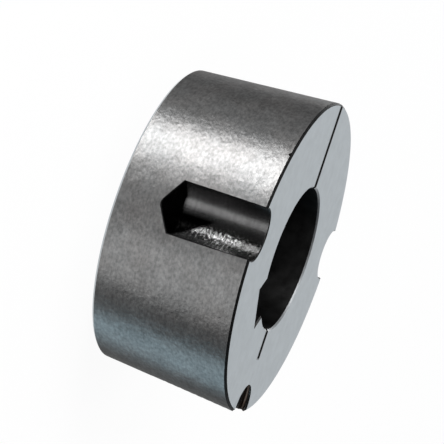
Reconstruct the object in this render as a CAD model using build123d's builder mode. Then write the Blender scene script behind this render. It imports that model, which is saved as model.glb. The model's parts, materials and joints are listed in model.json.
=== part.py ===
"""Taper bush: a split, tapered clamping bush that locks a pulley or sprocket hub onto a shaft.

The bush stands on its small end. Z is the bore axis, the origin is the centre of the small end,
and the saw cut that splits the wall faces +Y.
"""

from build123d import *
from math import cos, radians, sin, tan
import os

# Turned blank
body_length = 31.8
large_end_diameter = 70.0
taper_half_angle = 4.0
rim_chamfer = 0.5

# Bore and keyway
bore_diameter = 32.0
key_width = 10.0
key_depth = 3.3
key_angle = 127.7
bore_chamfer = 0.35

# Screw pockets, each one half in the bush and half in the hub
screw_inset = 1.65
clamp_pocket_diameter = 11.2
clamp_pocket_depth = 18.7
clamp_pocket_angle = 84.7
jack_pocket_diameter = 9.4
jack_pocket_depth = 19.6
pocket_edge_break = 0.2

# Drills: the corner between the lips and the barrel is sharp, and the point is worn blunt
drill_point_angle = 118.0
drill_tip_radius = 1.6

# Saw cuts
split_width = 1.6
relief_width = 1.6
relief_depth = 6.5

# How far every cutter runs on past the surface that it enters by
cutter_overrun = 2.0

# Angles round the bush are counted from the split, anticlockwise when seen on the large end
split_direction = 90.0
split_side = Plane.XY.rotated((0, 0, split_direction))

bore_radius = bore_diameter / 2
large_end_radius = large_end_diameter / 2
small_end_radius = large_end_radius - body_length * tan(radians(taper_half_angle))
screw_circle_radius = large_end_radius - screw_inset


def drilled_hole(diameter, depth):
    """The space that a drill leaves when it is run down Z, with its full width to this depth."""
    radius = diameter / 2
    lip_angle = drill_point_angle / 2
    sharp_point = -depth - radius / tan(radians(lip_angle))
    tip_centre = sharp_point + drill_tip_radius / sin(radians(lip_angle))
    with BuildPart() as hole:
        with BuildSketch(Plane.XZ):
            with BuildLine():
                tip = CenterArc((0, tip_centre), drill_tip_radius, -90, 90 - lip_angle)
                Polyline(
                    tip @ 1,
                    (radius, -depth),
                    (radius, cutter_overrun),
                    (0, cutter_overrun),
                    tip @ 0,
                )
            make_face()
        revolve(axis=Axis.Z)
    return hole.part


clamping_screw_hole = drilled_hole(clamp_pocket_diameter, clamp_pocket_depth)
jacking_screw_hole = drilled_hole(jack_pocket_diameter, jack_pocket_depth)

with BuildPart() as taper_bush:
    # The blank is turned to its taper, with a chamfer on the rim of both ends
    with BuildSketch(Plane.YZ) as half_section:
        with BuildLine():
            Polyline(
                (0, 0),
                (small_end_radius, 0),
                (large_end_radius, body_length),
                (0, body_length),
                close=True,
            )
        make_face()
        chamfer(half_section.vertices().sort_by(Axis.X)[-2:], rim_chamfer)
    revolve(axis=Axis.Z)

    # The bore and its keyway run right through, and their ends are broken by a small chamfer
    with BuildSketch(split_side.rotated((0, 0, key_angle))) as bore_and_keyway:
        Circle(bore_radius)
        Rectangle(bore_radius + key_depth, key_width, align=(Align.MIN, Align.CENTER))
    extrude(amount=body_length, mode=Mode.SUBTRACT)
    end_faces = taper_bush.faces().filter_by(Axis.Z)
    bore_ends = [edge for end_face in end_faces for edge in end_face.inner_wires().edges()]
    chamfer(bore_ends, bore_chamfer)

    # Two plain pockets for the clamping screws and one tapping pocket for the jacking screw are
    # drilled from the large end, so close to the barrel that each hole breaks out through it
    with Locations(Plane.XY.offset(body_length)):
        with PolarLocations(
            screw_circle_radius,
            count=2,
            start_angle=split_direction + clamp_pocket_angle,
            angular_range=360 - 2 * clamp_pocket_angle,
            endpoint=True,
        ):
            add(clamping_screw_hole, mode=Mode.SUBTRACT)
        with PolarLocations(screw_circle_radius, count=1, start_angle=split_direction + 180):
            add(jacking_screw_hole, mode=Mode.SUBTRACT)

    # The edges where the pockets meet the large end, its rim and the barrel are broken
    large_end = taper_bush.faces().sort_by(Axis.Z)[-1]
    face_arcs = large_end.edges().filter_by(GeomType.CIRCLE)
    pocket_arcs = face_arcs.filter_by(lambda arc: arc.radius < bore_radius)
    break_out_edges = taper_bush.edges().filter_by(GeomType.BSPLINE)
    chamfer(pocket_arcs + break_out_edges, pocket_edge_break)

    # One saw cut splits the wall, and a shorter one opposite lets the bush flex
    with BuildSketch(split_side) as saw_cuts:
        Rectangle(large_end_radius + cutter_overrun, split_width, align=(Align.MIN, Align.CENTER))
        Rectangle(bore_radius + relief_depth, relief_width, align=(Align.MAX, Align.CENTER))
    extrude(amount=body_length, mode=Mode.SUBTRACT)

os.makedirs("parts", exist_ok=True)
taper_bush.part.label = "taper_bush"
export_step(taper_bush.part, "parts/taper_bush.step")
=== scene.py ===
# %% [markdown]
# # A taper bush, from its solid to a finished part
#
# A taper bush clamps a pulley or sprocket to a shaft. It is one iron casting, turned to a slow taper,
# bored, keywayed, drilled and sawn. Its solid comes from the CAD model with every size settled.
# This lesson gives it what a solid lacks: true round surfaces that carry a highlight without facets,
# the marks that each tool leaves, the half thread in one pocket, a small knock on the rim, and a finish for
# every machined surface.
#
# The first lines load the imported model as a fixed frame. Everything is in metres, in the frame's own axes:
# Z is the bore axis, the bush stands on its small end, and the saw cut that splits it faces +Y.

# %% The frame and the modules
import json
from math import atan2, cos, hypot, pi, radians, sin, sqrt, tan

import bmesh
import bpy
from mathutils import Matrix, Vector, noise


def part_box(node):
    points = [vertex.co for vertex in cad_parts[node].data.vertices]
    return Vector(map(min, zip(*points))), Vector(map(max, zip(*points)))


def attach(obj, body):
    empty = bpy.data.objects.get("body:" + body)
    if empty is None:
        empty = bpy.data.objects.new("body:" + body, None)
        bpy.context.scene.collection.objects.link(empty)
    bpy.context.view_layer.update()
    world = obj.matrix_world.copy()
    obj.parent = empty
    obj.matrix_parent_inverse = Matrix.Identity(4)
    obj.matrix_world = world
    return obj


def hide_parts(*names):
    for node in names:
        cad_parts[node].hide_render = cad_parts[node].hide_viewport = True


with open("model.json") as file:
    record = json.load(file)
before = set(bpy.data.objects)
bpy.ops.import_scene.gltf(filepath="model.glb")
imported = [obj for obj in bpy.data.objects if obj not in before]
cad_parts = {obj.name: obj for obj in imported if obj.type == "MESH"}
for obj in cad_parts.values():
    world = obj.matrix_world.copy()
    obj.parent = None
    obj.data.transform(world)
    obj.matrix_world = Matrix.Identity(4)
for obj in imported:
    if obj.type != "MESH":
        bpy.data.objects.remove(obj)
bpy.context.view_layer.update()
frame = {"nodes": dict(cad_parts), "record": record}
solid = frame["nodes"]["taper_bush"]
MM = 0.001

# %% [markdown]
# ## The sizes
#
# The record that travels with the frame gives each interface its place and its size, so the bore, the taper
# and the screw pockets are read from it and aren't written twice. What no interface states, such as the
# width of a saw cut, is a named value here. Reading the record keeps the dressed part true to the solid.

# %% Sizes from the record, and the few that it doesn't state
mounts = {mount["name"]: mount for mount in frame["record"]["mounts"]}


def radius_of(mount_name):
    """The radius that the record states for an interface, in metres."""
    return mounts[mount_name]["dims"]["r_mm"] * MM


def length_of(mount_name):
    """The length that the record states for an interface, in metres."""
    return mounts[mount_name]["dims"]["length_mm"] * MM


large_end_height = mounts["outer_taper"]["pos_m"][2]
large_end_radius = radius_of("outer_taper")
taper_angle = radians(4)
taper_slope = tan(taper_angle)
small_end_radius = large_end_radius - large_end_height * taper_slope
bore_radius = radius_of("shaft_bore")

rim_chamfer = 0.5 * MM
bore_chamfer = 0.35 * MM
pocket_edge_break = 0.2 * MM
key_width = 10.0 * MM
split_width = 1.6 * MM
relief_width = 1.6 * MM
relief_depth = 6.5 * MM
drill_lip_angle = radians(118 / 2)
drill_lip_slope = tan(drill_lip_angle)
drill_tip_radius = 1.6 * MM
print("barrel radius", large_end_radius / MM, "to", round(small_end_radius / MM, 3), "mm over",
      large_end_height / MM, "mm; bore radius", bore_radius / MM, "mm")

# %% [markdown]
# ## The camera
#
# The camera looks at the barrel's side from a little above the large end, and it is rolled, so that the bore
# axis runs to the right and slightly down. A long lens keeps the rims nearly parallel, as a catalogue does
# with machine parts. The camera is placed by directions and a distance from the bush's middle: a reader can
# then turn one value and see what it does, which a matrix of numbers wouldn't allow.

# %% Camera
sensor_width = 36.0
lens_length = 195.6
camera_distance = 522.4 * MM
camera_azimuth = 179.45
camera_elevation = 14.85
camera_roll = 108.55
aim_offset = Vector((-0.3, 2.84, -1.22)) * MM

lowest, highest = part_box("taper_bush")
bush_middle = Vector((0, 0, (lowest[2] + highest[2]) / 2))


def direction(azimuth, elevation):
    """The unit vector towards an azimuth, counted from +X towards +Y, and an elevation, in degrees."""
    level = cos(radians(elevation))
    return Vector((cos(radians(azimuth)) * level, sin(radians(azimuth)) * level, sin(radians(elevation))))


camera_data = bpy.data.cameras.new("camera")
camera_data.sensor_width = sensor_width
camera_data.lens = lens_length
camera = bpy.data.objects.new("camera", camera_data)
bpy.context.collection.objects.link(camera)
bpy.context.scene.camera = camera

towards_camera = direction(camera_azimuth, camera_elevation)
level_view = towards_camera.to_track_quat("Z", "Y").to_matrix().to_4x4()
rolled_view = level_view @ Matrix.Rotation(radians(camera_roll), 4, "Z")
camera_place = bush_middle + aim_offset + towards_camera * camera_distance
camera.matrix_world = Matrix.Translation(camera_place) @ rolled_view
print("camera at", [round(value, 4) for value in camera_place])

# %% [markdown]
# ## The true surfaces
#
# A solid reaches Blender as flat triangles. Turned metal shows that at once: its highlight breaks into
# strips. The cure isn't more smoothing but the true surface. Every cut on this bush leaves a cylinder, a
# cone, a small ball or a plane, and each of these can say how far a point is from it and which way it faces
# there. Points are then snapped to the surfaces that they belong to, and the shading normals are taken from
# them. A surface has two directions: outwards is the way in which its gap grows, and normal is the way in
# which the metal faces, which is the opposite inside a hole.


# %% Surfaces that a point can be snapped to
class Turned:
    """A cylinder or cone about an upright axis: its radius at a height, and how it grows upwards."""

    def __init__(self, finish, centre, radius, height, slope=0.0, hollow=False):
        self.finish = finish
        self.centre = centre
        self.radius = radius
        self.height = height
        self.slope = slope
        self.tilt = 1 / sqrt(1 + slope * slope)
        self.side = -1 if hollow else 1

    def outwards(self, point):
        """The unit vector from the axis side to the far side of the surface."""
        across = Vector((point.x - self.centre[0], point.y - self.centre[1], 0)).normalized()
        return Vector((across.x * self.tilt, across.y * self.tilt, -self.slope * self.tilt))

    def gap(self, point):
        """How far the point lies outside the surface."""
        reach = hypot(point.x - self.centre[0], point.y - self.centre[1])
        return (reach - self.radius - self.slope * (point.z - self.height)) * self.tilt

    def normal(self, point):
        """The direction in which the metal faces there."""
        return self.outwards(point) * self.side


class Ball:
    """The round tip that a worn drill leaves at the bottom of a hole."""

    def __init__(self, finish, centre, radius):
        self.finish = finish
        self.centre = Vector(centre)
        self.radius = radius

    def outwards(self, point):
        """The unit vector away from the ball's centre."""
        return (point - self.centre).normalized()

    def gap(self, point):
        """How far the point lies outside the ball."""
        return (point - self.centre).length - self.radius

    def normal(self, point):
        """The direction in which the metal faces: into the hole, towards the centre."""
        return -self.outwards(point)


class Flat:
    """A plane through a point."""

    def __init__(self, finish, point, facing):
        self.finish = finish
        self.point = Vector(point)
        self.facing = Vector(facing).normalized()

    def outwards(self, point):
        """The way the plane faces, wherever the point is."""
        return self.facing

    def gap(self, point):
        """How far the point lies in front of the plane."""
        return (point - self.point).dot(self.facing)

    def normal(self, point):
        """The direction in which the metal faces, wherever the point is."""
        return self.facing


pin = Turned(None, (0, 0), 10 * MM, 0)
outside = pin.gap(Vector((12 * MM, 0, 0))) / MM
print("a point 12 mm from the axis lies", round(outside, 3), "mm outside a 10 mm pin")


# %% [markdown]
# Each surface also carries the finish that its tool gave it. Nine finishes cover the bush: the ground ends,
# the turned barrel, the broken rims, the bright mouths of the bore, the bore with its keyway, the filed edges
# of the keyway, the drilled pockets, the saw cuts and the thread. The list below is the whole machining of
# the bush, cut by cut. A chamfer takes the same length off both of its sides, and the barrel's side leans
# with the taper, so the rims' slopes are worked out from the taper. The small end's rim is ground with its
# face and shares the face's finish.

# %% The surfaces of this bush
FINISHES = [
    "ground end", "turned barrel", "broken rim", "bore mouth", "bore", "filed edge",
    "drilled pocket", "saw cut", "thread",
]
GROUND, BARREL, RIM, MOUTH, BORE, FILED, POCKET, SAWN, THREAD = range(len(FINISHES))
AXIS = (0.0, 0.0)
DOWN, UP = (0, 0, -1), (0, 0, 1)
top_rim_slope = -(1 - sin(taper_angle)) / cos(taper_angle)
bottom_rim_slope = (1 + sin(taper_angle)) / cos(taper_angle)

surfaces = [
    Flat(GROUND, (0, 0, large_end_height), UP),
    Flat(GROUND, (0, 0, 0), DOWN),
    Turned(BARREL, AXIS, large_end_radius, large_end_height, taper_slope),
    Turned(RIM, AXIS, large_end_radius - rim_chamfer, large_end_height, top_rim_slope),
    Turned(GROUND, AXIS, small_end_radius - rim_chamfer, 0, bottom_rim_slope),
    Turned(BORE, AXIS, bore_radius, 0, hollow=True),
    Turned(MOUTH, AXIS, bore_radius + bore_chamfer, large_end_height, 1, hollow=True),
    Turned(MOUTH, AXIS, bore_radius + bore_chamfer, 0, -1, hollow=True),
]


def drilled(mount_name):
    """The wall, the lip cone, the blunt tip and the chamfered mouth of one screw pocket."""
    centre = mounts[mount_name]["pos_m"]
    radius = radius_of(mount_name)
    full_depth_height = large_end_height - length_of(mount_name)
    cone_point = full_depth_height - radius / drill_lip_slope
    tip_height = cone_point + drill_tip_radius / sin(drill_lip_angle)
    return [
        Turned(POCKET, centre, radius, 0, hollow=True),
        Turned(POCKET, centre, radius, full_depth_height, drill_lip_slope, hollow=True),
        Ball(POCKET, (centre[0], centre[1], tip_height), drill_tip_radius),
        Turned(RIM, centre, radius + pocket_edge_break, large_end_height, 1, hollow=True),
    ]


pocket_names = ["clamping_screw_seat_left", "clamping_screw_seat_right", "jacking_screw_seat"]
for pocket_name in pocket_names:
    surfaces += drilled(pocket_name)
print(len(surfaces), "surfaces of revolution and end planes")

# %% [markdown]
# The keyway and the two saw cuts are flat-walled. A wall is told by the way it faces and by its distance from
# the bore axis along that way. The keyway's walls also end in chamfers, which lean halfway between the
# wall and the end face that they meet.


# %% The flat walls of the keyway and of the saw cuts
def wall(finish, facing, distance):
    """An upright wall that faces this way, and lies this far from the bore axis on its blind side."""
    return Flat(finish, Vector(facing) * -distance, facing)


key_seat = Vector(mounts["shaft_key_seat"]["pos_m"][:2]).to_3d()
key_outwards = key_seat.normalized()
key_across = Vector((-key_outwards.y, key_outwards.x, 0))
key_walls = [
    (-key_outwards, key_seat.length),
    (-key_across, key_width / 2),
    (key_across, key_width / 2),
]
for facing, distance in key_walls:
    surfaces.append(wall(BORE, facing, distance))
    for end_height, end_facing in ((large_end_height, Vector(UP)), (0, Vector(DOWN))):
        mouth_edge = facing * -(distance + bore_chamfer) + Vector((0, 0, end_height))
        surfaces.append(Flat(FILED, mouth_edge, facing + end_facing))

surfaces += [
    wall(SAWN, (-1, 0, 0), split_width / 2),
    wall(SAWN, (1, 0, 0), split_width / 2),
    wall(SAWN, (-1, 0, 0), relief_width / 2),
    wall(SAWN, (1, 0, 0), relief_width / 2),
    wall(SAWN, (0, 1, 0), bore_radius + relief_depth),
]
print(len(surfaces), "surfaces in all")

# %% [markdown]
# ## The bush, from a merged copy of the solid
#
# The solid's own mesh is left alone. A copy of it is merged into one closed skin, and every triangle is
# asked which surface all three of its corners lie on. The corners are exact, so two microns is tolerance
# enough, and the triangle also has to face as the surface does. What matches no listed surface is one of the
# narrow edge breaks around the pockets: they follow the curve in which a hole leaves the taper, and no simple
# surface fits them.

# %% Merge the copy and name its surfaces
EDGE_BREAK = -1
SAME_POINT = 1e-6
CLOSE = 2e-6
SAME_FACING = 0.95


def surface_of(face):
    """The index of the surface that this face lies on, or EDGE_BREAK."""
    middle = face.calc_center_median()
    for index, surface in enumerate(surfaces):
        if all(abs(surface.gap(vert.co)) < CLOSE for vert in face.verts):
            if surface.normal(middle).dot(face.normal) > SAME_FACING:
                return index
    return EDGE_BREAK


shape = bmesh.new()
shape.from_mesh(solid.data)
bmesh.ops.remove_doubles(shape, verts=shape.verts, dist=SAME_POINT)
shape.normal_update()
surface_layer = shape.faces.layers.int.new("surface")
for face in shape.faces:
    face[surface_layer] = surface_of(face)

fitted = sum(face[surface_layer] != EDGE_BREAK for face in shape.faces)
print(fitted, "of", len(shape.faces), "faces lie on a listed surface")

# %% [markdown]
# ## Slices, snapped to the true surfaces
#
# Round surfaces need more points before they can be snapped. A knife is run through the skin with
# bmesh.ops.bisect_plane: upright planes through the bore axis slice the barrel, the bore and their chamfers,
# and planes through each pocket's own axis slice that pocket. A subdivision surface would be the usual way
# to get more points, but it rounds off every edge, and a machined part is all edges.

# %% Slice the round surfaces
barrel_slice = 1.5
pocket_slice = 4.5
ON_PLANE = 1e-7


def faces_on(shape, wanted):
    """The faces that lie on these surfaces."""
    return [face for face in shape.faces if face[surface_layer] in wanted]


def cut_through(shape, faces, point, facing):
    """Slice these faces along a plane, and return all the faces that they have become."""
    edges = {edge for face in faces for edge in face.edges}
    corners = {vert for face in faces for vert in face.verts}
    cut = bmesh.ops.bisect_plane(
        shape, geom=[*corners, *edges, *faces], dist=ON_PLANE, plane_co=point, plane_no=facing
    )
    return [item for item in cut["geom"] if isinstance(item, bmesh.types.BMFace)]


def slice_round(shape, wanted, centre, step):
    """Slice these surfaces along upright planes through an axis, every few degrees."""
    faces = faces_on(shape, wanted)
    for index in range(round(180 / step)):
        turn = radians(index * step)
        faces = cut_through(shape, faces, (*centre[:2], 0), (-sin(turn), cos(turn), 0))


def about(centre):
    """The indexes of the surfaces that are turned about this axis."""
    return [
        index
        for index, surface in enumerate(surfaces)
        if isinstance(surface, (Turned, Ball))
        and hypot(surface.centre[0] - centre[0], surface.centre[1] - centre[1]) < CLOSE
    ]


slice_round(shape, about(AXIS), AXIS, barrel_slice)
for pocket_name in pocket_names:
    pocket_axis = mounts[pocket_name]["pos_m"]
    slice_round(shape, about(pocket_axis), pocket_axis, pocket_slice)
print("after slicing:", len(shape.faces), "faces")

# %% [markdown]
# A point inside a face has one surface to reach. A point on an edge has two and a corner has three, and it
# has to end on all of them. The simple way is to push it onto each in turn, again and again: the pushes
# shrink by a steady share, and the point settles where the surfaces meet. Slices that pass close by an old
# point leave very short edges, and those are merged first.

# %% Snap every point
PUSHES = 60
SETTLED = 1e-9
shortest_edge = 0.004 * MM


def snap(vert):
    """Push a point onto all the surfaces that its faces lie on, and return how far it moved."""
    start = vert.co.copy()
    goals = {face[surface_layer] for face in vert.link_faces} - {EDGE_BREAK}
    for _ in range(PUSHES):
        worst = 0.0
        for goal in goals:
            gap = surfaces[goal].gap(vert.co)
            vert.co -= surfaces[goal].outwards(vert.co) * gap
            worst = max(worst, abs(gap))
        if worst < SETTLED:
            break
    return (vert.co - start).length


bmesh.ops.remove_doubles(shape, verts=shape.verts, dist=shortest_edge)
moves = [snap(vert) for vert in shape.verts]
print("largest snap:", round(max(moves) / MM, 4), "mm over", len(shape.verts), "points")

# %% [markdown]
# ## The half thread in the jacking pocket
#
# A screw turned into this pocket pushes the bush back out of its hub, so the bush carries one half of the
# thread here and the hub the other. A tap cuts it, and the cutter below is what the tap cuts: one groove
# section spun about the pocket's axis with a rise at each step, which bmesh.ops.spin makes in one call.
# A boolean then takes it away, and the flanks come out with their true edges, also where they run out
# through the barrel. A bump couldn't notch that edge.

# %% The tap's path
thread_pitch = 1.814 * MM
thread_depth_reach = 17.5 * MM
thread_run_in = 1.5 * MM
thread_major_radius = 5.556 * MM
flank_slope = tan(radians(55 / 2))
root_half_width = 0.15 * MM
cutter_inner_radius = 4.2 * MM
steps_per_turn = 48


def tap_path():
    """The spiral groove that a right-hand tap cuts, as a closed mesh."""
    x, y, top = mounts["jacking_screw_seat"]["pos_m"]
    base_half_width = root_half_width + (thread_major_radius - cutter_inner_radius) * flank_slope
    turns = (thread_depth_reach + thread_run_in) / thread_pitch
    groove = bmesh.new()
    section = [
        groove.verts.new((x + radius, y, top - thread_depth_reach + height))
        for radius, height in (
            (cutter_inner_radius, -base_half_width),
            (thread_major_radius, -root_half_width),
            (thread_major_radius, root_half_width),
            (cutter_inner_radius, base_half_width),
        )
    ]
    outline = [groove.edges.new((section[side - 1], section[side])) for side in range(len(section))]
    bmesh.ops.spin(
        groove, geom=section + outline, cent=(x, y, 0), axis=UP, dvec=(0, 0, thread_pitch / steps_per_turn),
        angle=2 * pi * turns, steps=round(turns * steps_per_turn), use_merge=False,
    )
    bmesh.ops.holes_fill(groove, edges=[edge for edge in groove.edges if edge.is_boundary], sides=4)
    bmesh.ops.recalc_face_normals(groove, faces=groove.faces)
    for face in groove.faces:
        face.material_index = THREAD
    return groove


print("thread:", round(thread_depth_reach / thread_pitch, 1), "turns, pitch", thread_pitch / MM, "mm")

# %% [markdown]
# The rim of this bush also has one small knock, just under the edge of the large end. A hard corner has
# pressed a dent less than a millimetre long into the iron. A ball that reaches a little way into the barrel
# makes a dent of that kind. It joins the tap's path, so that a single boolean cuts both.

# %% The knock on the rim
knock_angle = 144.0
knock_below_rim = 0.5 * MM
knock_ball_radius = 0.42 * MM
knock_depth = 0.28 * MM


def add_knock(cutter):
    """Add the ball that dents the barrel just below the large end."""
    turn = radians(knock_angle)
    height = large_end_height - knock_below_rim
    reach = large_end_radius - knock_below_rim * taper_slope + knock_ball_radius - knock_depth
    place = Matrix.Translation((reach * cos(turn), reach * sin(turn), height))
    ball = bmesh.ops.create_icosphere(cutter, subdivisions=3, radius=knock_ball_radius, matrix=place)
    for face in {face for vert in ball["verts"] for face in vert.link_faces}:
        face.material_index = RIM
    return cutter


print("knock:", knock_depth / MM, "mm deep, at", knock_angle, "degrees")

# %% [markdown]
# The cutters are taken away by an exact boolean modifier, whose result is read back as a new bmesh, so that
# nothing is left live on the piece. Each face keeps its finish by its slot, the cutters' faces too. A face
# whose slot isn't that of its surface came from a cutter, and no listed surface fits it.

# %% Cut the thread and the knock
def as_object(name, mesh_data):
    """A scene object from a bmesh, with one empty slot for each finish."""
    mesh = bpy.data.meshes.new(name)
    mesh_data.to_mesh(mesh)
    for _ in FINISHES:
        mesh.materials.append(None)
    thing = bpy.data.objects.new(name, mesh)
    bpy.context.collection.objects.link(thing)
    return thing


def cut_away(body, tool):
    """The mesh of one object less another, as a bmesh."""
    saw = body.modifiers.new("cut", "BOOLEAN")
    saw.operation = "DIFFERENCE"
    saw.solver = "EXACT"
    saw.material_mode = "INDEX"
    saw.object = tool
    bpy.context.view_layer.update()
    result = bmesh.new()
    result.from_mesh(body.evaluated_get(bpy.context.evaluated_depsgraph_get()).to_mesh())
    for thing in (body, tool):
        bpy.data.objects.remove(thing)
    return result


def finish_of(face):
    """The finish that belongs to the surface that a face lies on."""
    surface_index = face[surface_layer]
    return RIM if surface_index == EDGE_BREAK else surfaces[surface_index].finish


for face in shape.faces:
    face.material_index = finish_of(face)
shape = cut_away(as_object("untapped", shape), as_object("cutters", add_knock(tap_path())))
surface_layer = shape.faces.layers.int["surface"]
for face in shape.faces:
    if face.material_index != finish_of(face):
        face[surface_layer] = EDGE_BREAK
print("with the thread:", len(shape.faces), "faces,", len(faces_on(shape, [EDGE_BREAK])), "of them free")

# %% [markdown]
# ## Drill marks in the clamping pockets
#
# A drill that is fed fast leaves a shallow spiral ridge on the wall, about one for each turn. The two
# clamping pockets aren't tapped, so theirs stays, and it breaks a highlight along the wall into steps. The
# wall is sliced into rings, and each point moves out by the feed ridge and by the chatter that lies over it.
# The pocket is open at its side, so each lip leaves the metal and comes back at every turn. It enters calmly,
# and it tears the brittle iron on the side where it breaks out, so the marks grow from one side to the other.
# The points on the wall's border stay where they are, so the skin stays closed and the edges stay true.

# %% Rings, and the marks
ring_height = 0.13 * MM
feed_pitch = 0.86 * MM
feed_depth = 0.07 * MM
chatter_size = 1.1 * MM
chatter_depth = 0.13 * MM
calm_share = 0.15
tearing_middle = 0.5
tearing_swing = 1.6
tearing_turn = radians(8)


def ring_slices(shape, wall_index, bottom):
    """Slice a pocket's wall into level rings from its bottom to the large end."""
    faces = faces_on(shape, [wall_index])
    for index in range(1, round((large_end_height - bottom) / ring_height)):
        faces = cut_through(shape, faces, (0, 0, bottom + index * ring_height), UP)


def tearing(angle, axis):
    """How strongly a lip tears the wall at an angle about the pocket: 1 where it leaves the metal."""
    inwards = atan2(-axis[1], -axis[0])
    share = tearing_middle - tearing_swing * sin(angle - inwards + tearing_turn)
    return min(1.0, max(calm_share, share))


def mark_depth(point, axis, seed):
    """How far the drill's feed and its chatter have pressed into the wall at a point."""
    angle = atan2(point.y - axis[1], point.x - axis[0])
    wander = noise.noise(Vector((angle, point.z / (3 * feed_pitch), seed)))
    turn = point.z / feed_pitch + angle / (2 * pi) + 0.35 * wander
    strength = 0.7 + 0.6 * noise.noise(Vector((seed, point.z / feed_pitch, 1.5 * angle)))
    chatter = 0.5 + 0.5 * noise.noise(Vector((point.x, point.y, 2 * point.z)) / chatter_size)
    return (feed_depth * abs(sin(pi * turn)) * strength + chatter_depth * chatter) * tearing(angle, axis)


def feed_marks(shape, wall_index, seed):
    """Press a drill's spiral marks into a pocket's wall, and return how many points moved."""
    wall_surface = surfaces[wall_index]
    inner = {vert for face in faces_on(shape, [wall_index]) for vert in face.verts}
    inner = [vert for vert in inner if all(face[surface_layer] == wall_index for face in vert.link_faces)]
    for vert in inner:
        depth = mark_depth(vert.co, wall_surface.centre, seed)
        vert.co += wall_surface.outwards(vert.co) * depth
    return len(inner)


marked_walls = []
for seed, pocket_name in enumerate(pocket_names[:2]):
    wall_index = about(mounts[pocket_name]["pos_m"])[0]
    marked_walls.append(wall_index)
    ring_slices(shape, wall_index, large_end_height - length_of(pocket_name))
    print(pocket_name, feed_marks(shape, wall_index, seed), "points marked")

# %% [markdown]
# ## Shading normals from the true surfaces
#
# The last step for the skin tells Blender which way the metal faces at each corner of each face. On a plain
# surface the formula knows. On the thread, the edge breaks and the marked walls it is the mean of the faces
# around the corner that lean about the same way, weighted by their angles. This replaces smooth shading
# with a limit angle, which would blur the narrow chamfers into the barrel.

# %% The piece
SAME_LEAN = cos(radians(35))


def mean_normal(face, corner):
    """The mean facing of the faces around a corner that belong with this face."""
    total = Vector()
    for loop in corner.link_loops:
        other = loop.face
        if other[surface_layer] == face[surface_layer] and other.normal.dot(face.normal) > SAME_LEAN:
            total += other.normal * loop.calc_angle()
    return total.normalized()


def shading_normal(face, corner):
    """Which way the metal faces at this corner of this face."""
    surface_index = face[surface_layer]
    if surface_index == EDGE_BREAK or surface_index in marked_walls:
        return mean_normal(face, corner)
    return surfaces[surface_index].normal(corner.co)


bmesh.ops.triangulate(shape, faces=shape.faces)
shape.normal_update()
facings = [shading_normal(face, corner) for face in shape.faces for corner in face.verts]
bush = as_object("bush", shape)
bush.data.normals_split_custom_set(facings)
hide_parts("taper_bush")
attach(bush, "root")
print("bush:", len(bush.data.polygons), "triangles")

# %% [markdown]
# ## Finishes
#
# One helper starts each finish as a metal with a roughness, and gives short names to the nodes. The finishes
# differ in what their tools left, so each then gets its own colour and its own marks. All patterns read
# Object coordinates, in metres, so that the marks stay on the metal wherever the bush stands. A grain is
# asked for by its size, and the noise takes one over that size as its scale.

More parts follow.
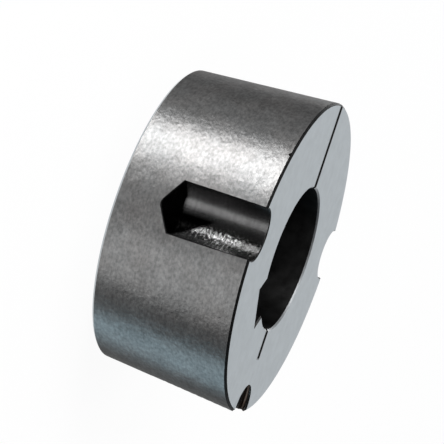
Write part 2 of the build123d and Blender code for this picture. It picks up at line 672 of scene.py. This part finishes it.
# %% Helpers for the finishes
class Finish:
    """A metal material, and short names for the nodes that shape it."""

    def __init__(self, name, roughness=0.5):
        self.material = bpy.data.materials.new(name)
        self.material.use_nodes = True
        self.nodes = self.material.node_tree.nodes
        self.links = self.material.node_tree.links
        self.shader = self.nodes["Principled BSDF"]
        self.shader.inputs["Metallic"].default_value = 1.0
        self.shader.inputs["Roughness"].default_value = roughness
        self.place = self.nodes.new("ShaderNodeTexCoord").outputs["Object"]

    def join(self, source, target):
        """Feed a socket from another socket, or set it to a value."""
        if isinstance(source, bpy.types.NodeSocket):
            self.links.new(source, target)
        else:
            target.default_value = source

    def node(self, kind, *sources, **settings):
        """A new node with its settings, and its inputs fed in order."""
        made = self.nodes.new("ShaderNode" + kind)
        for name, value in settings.items():
            setattr(made, name, value)
        for source, target in zip(sources, made.inputs):
            if source is not None:
                self.join(source, target)
        return made

    def math(self, operation, *sources):
        """The result of a Math node."""
        return self.node("Math", *sources, operation=operation).outputs[0]

    def vector(self, operation, *sources):
        """The result of a Vector Math node."""
        return self.node("VectorMath", *sources, operation=operation).outputs[0]

    def grain(self, size, detail=2.0, stretch=(1, 1, 1)):
        """Noise from 0 to 1 whose grains are about this size, in metres."""
        place = self.vector("MULTIPLY", self.place, stretch)
        made = self.node("TexNoise", place)
        made.inputs["Scale"].default_value = 1 / size
        made.inputs["Detail"].default_value = detail
        return made.outputs["Fac"]

    def rings(self, size):
        """Noise from 0 to 1 in rings about the bore axis, about this far apart."""
        return self.grain(size, detail=1.0, stretch=(0.05, 0.05, 1))

    def ranged(self, source, low, high, from_low=0.3, from_high=0.7):
        """Stretch a noise to a range."""
        return self.node("MapRange", source, from_low, from_high, low, high).outputs[0]

    def tinted(self, colour, *shares):
        """Colour the metal, with the colour multiplied by each of these shares."""
        tone = shares[0]
        for share in shares[1:]:
            tone = self.math("MULTIPLY", tone, share)
        scaled = self.node("VectorMath", colour, None, None, tone, operation="SCALE")
        self.use(scaled.outputs[0], "Base Color")

    def between(self, fac, first, second):
        """A colour between two colours."""
        made = self.nodes.new("ShaderNodeMix")
        made.data_type = "RGBA"
        self.join(fac, made.inputs[0])
        self.join((*first, 1), made.inputs[6])
        self.join((*second, 1), made.inputs[7])
        return made.outputs[2]

    def raised(self, height, depth, normal=None):
        """A bump from a height of 0 to 1, this deep in metres."""
        made = self.nodes.new("ShaderNodeBump")
        made.inputs["Distance"].default_value = depth
        self.join(height, made.inputs["Height"])
        if normal is not None:
            self.join(normal, made.inputs["Normal"])
        return made.outputs["Normal"]

    def leaning(self, slope, outwards=0.0):
        """The facing of saw-toothed tool marks, which lean up the axis and away from it by these slopes."""
        facing = self.nodes.new("ShaderNodeNewGeometry").outputs["Normal"]
        facing = self.vector("ADD", facing, (0, 0, slope))
        if outwards:
            away = self.vector("NORMALIZE", self.vector("MULTIPLY", self.place, (1, 1, 0)))
            facing = self.vector("ADD", facing, self.vector("MULTIPLY", away, (outwards,) * 3))
        return self.vector("NORMALIZE", facing)

    def use(self, source, socket):
        """Feed one of the metal's own sockets."""
        self.join(source, self.shader.inputs[socket])

    def brushed(self, amount):
        """Stretch reflections along the bore axis, across the tool marks."""
        self.use(amount, "Anisotropic")
        self.use(self.node("CombineXYZ", 0.0, 0.0, 1.0).outputs[0], "Tangent")


def put_on(index, material):
    """Give the faces of one finish their material."""
    bush.data.materials[index] = material
    covered = sum(face.material_index == index for face in bush.data.polygons)
    print(f"{FINISHES[index]}: {covered} triangles")


# %% [markdown]
# ### The turned barrel
#
# The barrel is left as the lathe leaves it: dark iron, closely speckled because the tool tears out the
# graphite in the iron, and ridged by the feed. The ridges are saw-toothed and lean up the axis, so they throw
# the light upwards. The specks are noise in the colour, since torn graphite is dark from all sides. A bump
# alone would show them only where the light grazes. A coarser bump makes the metal uneven, and so frays the
# edges of a highlight. A thin film of oil tints the iron, a little warmer in some places and a little cooler
# in others.

# %% The turned barrel
ridge_lean = 0.42
warm_iron = (0.162, 0.1595, 0.158)
cool_iron = (0.159, 0.160, 0.160)


def turned_barrel():
    """Dark turned iron with specks of graphite, fine feed ridges and a thin film of oil."""
    finish = Finish("turned barrel", 0.40)
    finish.shader.inputs["Specular Tint"].default_value = (0.4, 0.4, 0.4, 1)
    finish.brushed(0.667)
    specks = finish.ranged(finish.grain(0.62 * MM, stretch=(0.75, 0.75, 1)), 0.79, 1.21)
    clouds = finish.ranged(finish.grain(3 * MM, detail=3.0), 0.9, 1.1)
    ridges = finish.ranged(finish.rings(0.3 * MM), 0.94, 1.06)
    film = finish.ranged(finish.grain(7 * MM, detail=3.0), 0.0, 1.0, 0.35, 0.65)
    finish.tinted(finish.between(film, warm_iron, cool_iron), specks, clouds, ridges)
    torn = finish.grain(0.6 * MM, stretch=(0.75, 0.75, 1))
    uneven = finish.raised(finish.grain(1.8 * MM), 0.06 * MM, finish.leaning(ridge_lean))
    finish.use(finish.raised(torn, 0.035 * MM, uneven), "Normal")
    return finish.material


put_on(BARREL, turned_barrel())

# %% [markdown]
# ### The ground ends
#
# Both ends are ground flat after turning, and a fine wheel leaves them bright, even and slightly blue. The
# wheel crosses the face in long shallow arcs. Noise that is drawn out along one direction gives such arcs
# their unevenness, and a second, cloudy noise keeps the face from being one flat colour. Oil creeps out of
# the saw cuts and stains a narrow border along each of them.

# %% The ground ends
stain_inner = 0.1 * MM
stain_outer = 0.45 * MM
stained_tone = 0.15


def ground_end():
    """Bright iron, ground across in one direction, and stained along the saw cuts."""
    finish = Finish("ground end", 0.38)
    x, y, _ = finish.node("SeparateXYZ", finish.place).outputs
    beside = finish.math("SUBTRACT", finish.math("ABSOLUTE", x), split_width / 2)
    beyond = finish.math("SUBTRACT", -(bore_radius + relief_depth), y)
    from_cut = finish.math("MAXIMUM", beside, beyond)
    stain = finish.ranged(from_cut, stained_tone, 1.0, stain_inner, stain_outer)
    clouds = finish.ranged(finish.grain(2.2 * MM, detail=4.0), 0.95, 1.05)
    lines = finish.ranged(finish.grain(0.35 * MM, stretch=(1, 0.06, 1)), 0.97, 1.03)
    finish.tinted((0.45, 0.48, 0.50), clouds, lines, stain)
    scratches = finish.grain(0.25 * MM, detail=1.0, stretch=(1, 0.04, 1))
    finish.use(finish.raised(scratches, 0.002 * MM), "Normal")
    return finish.material


put_on(GROUND, ground_end())

# %% [markdown]
# ### The broken edges
#
# The chamfer on the large end's rim and the edges round the pockets are filed or turned off last, and they
# are coloured nearly black. The chamfers of the bore's mouth are cut by the boring tool. They stay bright.
# The edges are real faces with a finish of their own, which draws a thin line that a dark bump couldn't.

# %% The broken edges
def broken_rim():
    """An edge that was broken, coloured nearly black."""
    finish = Finish("broken rim", 0.6)
    finish.tinted((0.012, 0.012, 0.012), finish.ranged(finish.grain(0.5 * MM), 0.6, 1.4))
    finish.use(finish.raised(finish.grain(0.4 * MM), 0.02 * MM), "Normal")
    return finish.material


def bore_mouth():
    """The bright chamfer that the boring tool leaves at each mouth."""
    finish = Finish("bore mouth", 0.4)
    finish.tinted((0.28, 0.29, 0.30), finish.ranged(finish.grain(0.6 * MM), 0.88, 1.12))
    finish.use(finish.raised(finish.rings(0.1 * MM), 0.004 * MM), "Normal")
    return finish.material


put_on(RIM, broken_rim())
put_on(MOUTH, bore_mouth())

# %% [markdown]
# ### The bore
#
# The bore and its keyway are coloured almost black, as painted shade inside the hole. A metal's colour is the
# share of the room that it mirrors, so a colour of about one percent is as good as black. Fine rings from the
# boring tool show where a light catches them.

# %% The bore
def bored_wall():
    """A bored wall, painted black as shade."""
    finish = Finish("bore", 0.5)
    mottling = finish.ranged(finish.grain(2.5 * MM, detail=4.0), 0.6, 1.5)
    # Painted shade: the bore and the keyway are coloured nearly black.
    finish.tinted((0.012, 0.012, 0.012), mottling)
    finish.use(finish.raised(finish.rings(0.25 * MM), 0.012 * MM), "Normal")
    return finish.material


put_on(BORE, bored_wall())

# %% [markdown]
# ### The filed edges
#
# A broach cuts the keyway and leaves its edges sharp, so they are filed by hand. The file leaves them
# duller than the bore's mouth, but not as black as the bore's walls with their painted shade. One noise sets
# both the tone and the height of the strokes, so a deep stroke is also a dark one.

# %% The filed edges
def filed_edge():
    """The dull edges of the keyway, broken with a file."""
    finish = Finish("filed edge", 0.5)
    strokes = finish.grain(0.4 * MM)
    finish.tinted((0.06, 0.06, 0.06), finish.ranged(strokes, 0.7, 1.3))
    finish.use(finish.raised(strokes, 0.02 * MM), "Normal")
    return finish.material


put_on(FILED, filed_edge())

# %% [markdown]
# ### The drilled pockets
#
# A drill tears cast iron more than a lathe does, and its marks lean both up the axis and away from it. The
# drilled cone at the bottom of each hole is painted black as shade, and so is the side of the wall where the
# lips break out: that painted shadow climbs from the open edge to the middle of the wall, with a border that
# depends on the place alone. Higher up, painted shade darkens the torn side towards the open end and dims its
# reflected band. The outermost edge of the torn side is painted lighter, as a painted highlight.

# %% The drilled pockets
# Painted shade and shadow: the cone is painted black, and so is the lips' side of the wall below a border
# that climbs from the open edge.
painted_shadow_bottom = large_end_height - length_of(pocket_names[0])
painted_shadow_slope = 1.37
painted_shadow_tone = 0.013
# Painted shade: the torn side is painted darker towards the open end, which dims its reflected band.
painted_shade_low = 22.0 * MM
painted_shade_high = 28.5 * MM
strongest_painted_shade = 0.6
torn_from = 1.8 * MM
# Painted highlight: the outermost edge of the torn side is painted lighter.
painted_highlight_from = 4.2 * MM
painted_highlight_full = 5.5 * MM
painted_highlight_tone = 3.2


def towards_leaving_side(finish):
    """How far a point lies from a pocket's middle, towards the side where the lips break out."""
    x, y, _ = finish.node("SeparateXYZ", finish.place).outputs
    from_middle = finish.math("SUBTRACT", y, mounts[pocket_names[0]]["pos_m"][1])
    return finish.math("MULTIPLY", from_middle, finish.math("SIGN", x))


def painted_shadow(finish):
    """From 0 where no shade is painted to 1 on the cone and on the side where the lips break out, where
    painted shade and shadow turn the colour black.
    """
    across = towards_leaving_side(finish)
    height = finish.node("SeparateXYZ", finish.place).outputs["Z"]
    ragged = finish.ranged(finish.grain(2.5 * MM, detail=3.0), -0.25 * MM, 0.25 * MM)
    height = finish.math("ADD", height, ragged)
    cone = finish.ranged(height, 1.0, 0.0, painted_shadow_bottom, painted_shadow_bottom + 0.6 * MM)
    from_open_edge = finish.math("SUBTRACT", radius_of(pocket_names[0]), across)
    border = finish.math("MULTIPLY_ADD", from_open_edge, painted_shadow_slope, painted_shadow_bottom + 0.5 * MM)
    below = finish.ranged(finish.math("SUBTRACT", height, border), 1.0, 0.0, -0.4 * MM, 0.7 * MM)
    leaving = finish.ranged(across, 0.0, 1.0, 0.0, 0.9 * MM)
    return finish.math("MAXIMUM", cone, finish.math("MULTIPLY", below, leaving))


def dimmed_by_painted_shade(finish, tearing_here):
    """The share of the metal's colour that painted shade leaves, less towards the open end of the torn side.
    """
    height = finish.node("SeparateXYZ", finish.place).outputs["Z"]
    painted_shade_amount = finish.ranged(height, 0.0, strongest_painted_shade, painted_shade_low, painted_shade_high)
    return finish.math("SUBTRACT", 1.0, finish.math("MULTIPLY", painted_shade_amount, tearing_here))


def drilled_pocket():
    """A torn, shiny drilled wall, with shade and shadow painted black towards the drill's end."""
    finish = Finish("drilled pocket")
    finish.brushed(0.3)
    across = towards_leaving_side(finish)
    tearing_here = finish.ranged(across, calm_share, 1.0, 0.0, torn_from)
    finish.use(finish.ranged(tearing_here, 0.27, 0.2, calm_share, 1.0), "Roughness")

    pits = finish.ranged(finish.grain(0.45 * MM), -0.4, 0.4)
    specks = finish.math("MULTIPLY_ADD", pits, tearing_here, 1.0)
    drawn = finish.ranged(finish.rings(0.5 * MM), 0.9, 1.1)
    # Painted shade and shadow: the colour goes black on the cone and below the border on the lips' side.
    painted_shadow_share = finish.ranged(painted_shadow(finish), 1.0, painted_shadow_tone, 0.0, 1.0)
    # Painted highlight: the colour is raised towards the open edge of the torn side.
    painted_highlight = finish.ranged(across, 1.0, painted_highlight_tone, painted_highlight_from, painted_highlight_full)
    # The last share is painted shade on the torn side towards the open end.
    finish.tinted((0.165, 0.165, 0.165), specks, drawn, painted_shadow_share, painted_highlight, dimmed_by_painted_shade(finish, tearing_here))

    torn = finish.math("MULTIPLY", finish.grain(0.6 * MM, stretch=(0.8, 0.8, 1.3)), tearing_here)
    finish.use(finish.raised(torn, 0.05 * MM, finish.leaning(0.9, outwards=0.35)), "Normal")
    return finish.material


put_on(POCKET, drilled_pocket())

# %% [markdown]
# ### The saw cuts and the thread
#
# The saw leaves fine straight lines along its cut, which are noise drawn out along the saw's travel. The
# thread's flanks carry a thin brown film of tapping oil. It is thicker in some places than in others, so a
# noise mixes the two browns.

# %% The saw cuts and the thread
def saw_cut():
    """A dark sawn wall, lined along the saw's travel."""
    finish = Finish("saw cut", 0.6)
    lines = finish.grain(0.3 * MM, stretch=(1, 0.08, 1))
    finish.tinted((0.02, 0.02, 0.02), finish.ranged(lines, 0.5, 1.5))
    finish.use(finish.raised(lines, 0.02 * MM), "Normal")
    return finish.material


def thread_flank():
    """A tapped flank under a brown film of oil."""
    finish = Finish("thread", 0.42)
    film = finish.ranged(finish.grain(0.8 * MM, detail=3.0), 0.0, 1.0)
    finish.use(finish.between(film, (0.10, 0.09, 0.082), (0.08, 0.056, 0.044)), "Base Color")
    finish.use(finish.raised(finish.grain(0.3 * MM), 0.01 * MM), "Normal")
    return finish.material


put_on(SAWN, saw_cut())
put_on(THREAD, thread_flank())

# %% [markdown]
# ## Floor, surroundings and lamps
#
# A mirror-like part shows its room more than its own colour, so the room is the second half of each metal
# finish. The floor is white where it is seen or mirrored, and it keeps a soft shadow, because a share of it
# stays plain and takes the light as it falls. The Light Path node tells the rays that see or mirror it from
# those that only carry light, and these find the plain floor alone.

# %% Floor
floor_reach = 3.0
floor_white_share = 0.94


def white_floor():
    """White to the eye and in reflections, with a share that is plainly lit and so keeps the shadow."""
    material = bpy.data.materials.new("floor")
    material.use_nodes = True
    nodes = material.node_tree.nodes
    links = material.node_tree.links
    plain = nodes["Principled BSDF"]
    plain.inputs["Base Color"].default_value = (0.85, 0.85, 0.85, 1)
    plain.inputs["Roughness"].default_value = 0.9
    plain.inputs["Specular IOR Level"].default_value = 0.0
    white = nodes.new("ShaderNodeEmission")
    ray = nodes.new("ShaderNodeLightPath")
    seen = ray.outputs["Is Camera Ray"]
    for kind in ("Is Glossy Ray", "Is Transmission Ray"):
        either = nodes.new("ShaderNodeMath")
        either.operation = "MAXIMUM"
        links.new(seen, either.inputs[0])
        links.new(ray.outputs[kind], either.inputs[1])
        seen = either.outputs[0]
    share = nodes.new("ShaderNodeMath")
    share.operation = "MULTIPLY"
    links.new(seen, share.inputs[0])
    share.inputs[1].default_value = floor_white_share
    mix = nodes.new("ShaderNodeMixShader")
    links.new(share.outputs[0], mix.inputs[0])
    links.new(plain.outputs[0], mix.inputs[1])
    links.new(white.outputs[0], mix.inputs[2])
    links.new(mix.outputs[0], nodes["Material Output"].inputs["Surface"])
    return material


floor_mesh = bmesh.new()
bmesh.ops.create_grid(floor_mesh, x_segments=1, y_segments=1, size=floor_reach)
floor_data = bpy.data.meshes.new("floor")
floor_mesh.to_mesh(floor_data)
floor_data.materials.append(white_floor())
floor = bpy.data.objects.new("floor", floor_data)
bpy.context.collection.objects.link(floor)
print("floor:", 2 * floor_reach, "m wide")

# %% [markdown]
# The surroundings have three levels. Near the horizon they are pale, as a studio's paper sweep is. Above that
# lies a nearly black ring, where the lamps stand: without it a turned barrel is evenly grey and loses its
# form. Overhead is a grey dome, which lights the floor and the end face. A colour ramp over the height of the
# ray's direction joins the three, and needs no picture.

# %% Surroundings
horizon_top = 3.0
ring_bottom = 8.0
ring_top = 70.0
dome_bottom = 82.0
horizon_level = 0.7
ring_level = 0.018
dome_level = 0.35


def surroundings():
    """A world whose level depends only on how high a ray points."""
    world = bpy.data.worlds.new("studio")
    world.use_nodes = True
    nodes = world.node_tree.nodes
    links = world.node_tree.links
    place = nodes.new("ShaderNodeTexCoord")
    split = nodes.new("ShaderNodeSeparateXYZ")
    links.new(place.outputs["Generated"], split.inputs[0])
    levels = nodes.new("ShaderNodeValToRGB")
    levels.color_ramp.interpolation = "EASE"
    stops = (
        (horizon_top, horizon_level),
        (ring_bottom, ring_level),
        (ring_top, ring_level),
        (dome_bottom, dome_level),
    )
    while len(levels.color_ramp.elements) < len(stops):
        levels.color_ramp.elements.new(0.5)
    for element, (elevation, level) in zip(levels.color_ramp.elements, stops):
        element.position = sin(radians(elevation))
        element.color = (level, level, level, 1)
    links.new(split.outputs["Z"], levels.inputs[0])
    links.new(levels.outputs[0], nodes["Background"].inputs["Color"])
    return world


bpy.context.scene.world = surroundings()
print("surroundings: horizon", horizon_level, "ring", ring_level, "dome", dome_level)

# %% [markdown]
# The lamps stand in a ring, a metre from the bush. Each is a softbox that fills a stretch of azimuth and of
# height, because a turned barrel mirrors that whole stretch as one soft-edged band along its length. Its
# level is the radiance of its surface, so a larger lamp of the same level takes more power and looks no
# brighter. The key lamp draws the highlight, dimmer ones fill the rest of the barrel, one of them cool, and
# the wide back lamps are what the end face mirrors.

# %% Lamps
lamp_distance = 1.0
POWER_FOR_LEVEL = 4


def lamp(name, azimuth, width, low, high, level, colour=(1, 1, 1)):
    """A softbox on a ring around the bush, sized by the angles that it fills, with this radiance."""
    middle = (low + high) / 2
    light = bpy.data.lights.new(name, "AREA")
    light.shape = "RECTANGLE"
    light.size = 2 * lamp_distance * tan(radians(width / 2))
    light.size_y = 2 * lamp_distance * tan(radians((high - low) / 2))
    light.energy = level * POWER_FOR_LEVEL * light.size * light.size_y
    light.color = colour
    holder = bpy.data.objects.new(name, light)
    facing = direction(azimuth, middle)
    aimed = facing.to_track_quat("Z", "Y").to_matrix().to_4x4()
    holder.matrix_world = Matrix.Translation(bush_middle + facing * lamp_distance) @ aimed
    holder.visible_camera = False
    bpy.context.collection.objects.link(holder)


lamp("key lamp", 180 - 56.5, 26, 1, 28, 10.0)
lamp("high key lamp", 180 - 60, 18, 42, 54, 6.4)
lamp("key lamp edge", 180 - 34, 18, 1, 22, 3.3)
lamp("front lamp", 180 - 7, 36, 1, 22, 1.4)
lamp("fill lamp", 180 + 37, 43, 1, 30, 1.87)
lamp("high fill lamp", 180 + 28, 18, 34, 64, 1.08)
lamp("cool lamp", 180 + 105, 31, 1, 22, 1.75, (0.70, 1.0, 1.15))
lamp("side lamp", 180 - 92, 34, 1, 22, 0.42)
lamp("high side lamp", 180 - 124, 40, 52, 80, 2.7)
lamp("edge lamp", 180 - 152, 26, 1, 8, 5.2)
lamp("back lamp", 3, 76, 1, 46, 0.54, (0.97, 1.0, 1.02))
lamp("high back lamp", 0, 60, 48, 72, 0.7)

bpy.context.scene.view_settings.view_transform = "Standard"
print("lamps:", len(bpy.data.lights))
